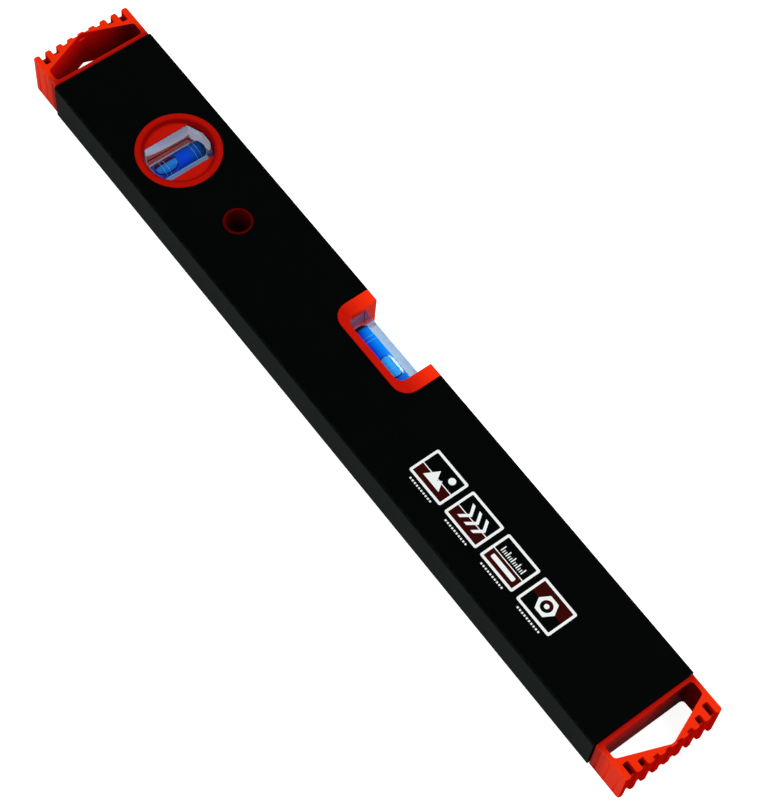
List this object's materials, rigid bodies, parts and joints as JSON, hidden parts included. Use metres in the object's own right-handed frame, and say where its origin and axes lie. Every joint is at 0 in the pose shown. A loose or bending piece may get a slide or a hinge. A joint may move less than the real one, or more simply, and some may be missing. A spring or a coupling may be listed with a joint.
{
  "type": "spirit level",
  "caption": "Box-section spirit level: black aluminium profile, toothed red end caps, blue centre vial in a top notch, round plumb vial, hanging hole.",
  "frame": {"origin": "middle of the level's length and of its height, on the surface that its back lies on", "axes": "+X along the level, away from the plumb vial; +Y from the measuring edge to the edge with the centre vial; +Z out of the front face"},
  "size_m": [0.4, 0.05, 0.023],
  "materials": {
    "black_powder_coat": "satin black powder coat over extruded aluminium",
    "red_plastic": "satin moulded plastic",
    "clear_acrylic": "polished clear acrylic",
    "blue_liquid": "clear blue liquid",
    "vial_bubble": "air",
    "reading_ring": "white reading ring",
    "magnet_nickel": "nickel plate"
  },
  "bodies": {
    "level": {"box_profile": "black_powder_coat", "right_end_cap": "red_plastic", "left_end_cap": "red_plastic", "centre_frame_front": "red_plastic", "centre_frame_rear": "red_plastic", "centre_vial_block": "clear_acrylic", "centre_vial_plug": "clear_acrylic", "centre_vial_liquid": "blue_liquid", "centre_vial_line_1": "reading_ring", "centre_vial_line_2": "reading_ring", "centre_vial_line_3": "reading_ring", "centre_vial_line_4": "reading_ring", "plumb_holder_front": "red_plastic", "plumb_holder_rear": "red_plastic", "plumb_vial_block": "clear_acrylic", "plumb_vial_plug": "clear_acrylic", "plumb_vial_liquid": "blue_liquid", "plumb_vial_line_1": "reading_ring", "plumb_vial_line_2": "reading_ring", "plumb_vial_line_3": "reading_ring", "plumb_vial_line_4": "reading_ring", "hang_sleeve_front": "red_plastic", "hang_sleeve_rear": "red_plastic", "left_magnet": "magnet_nickel", "right_magnet": "magnet_nickel"},
    "centre_bubble": {"centre_vial_bubble": "vial_bubble"},
    "plumb_bubble": {"plumb_vial_bubble": "vial_bubble"}
  },
  "joints": [
    {"name": "centre_bubble_float", "type": "slide", "parent": "level", "child": "centre_bubble", "axis": [1, 0, 0], "range_m": [-0.017, 0.0022], "deforming": ["centre_vial_liquid"]},
    {"name": "plumb_bubble_float", "type": "slide", "parent": "level", "child": "plumb_bubble", "axis": [0, 1, 0], "range_m": [-0.0004, 0.0132], "deforming": ["plumb_vial_liquid"]}
  ]
}
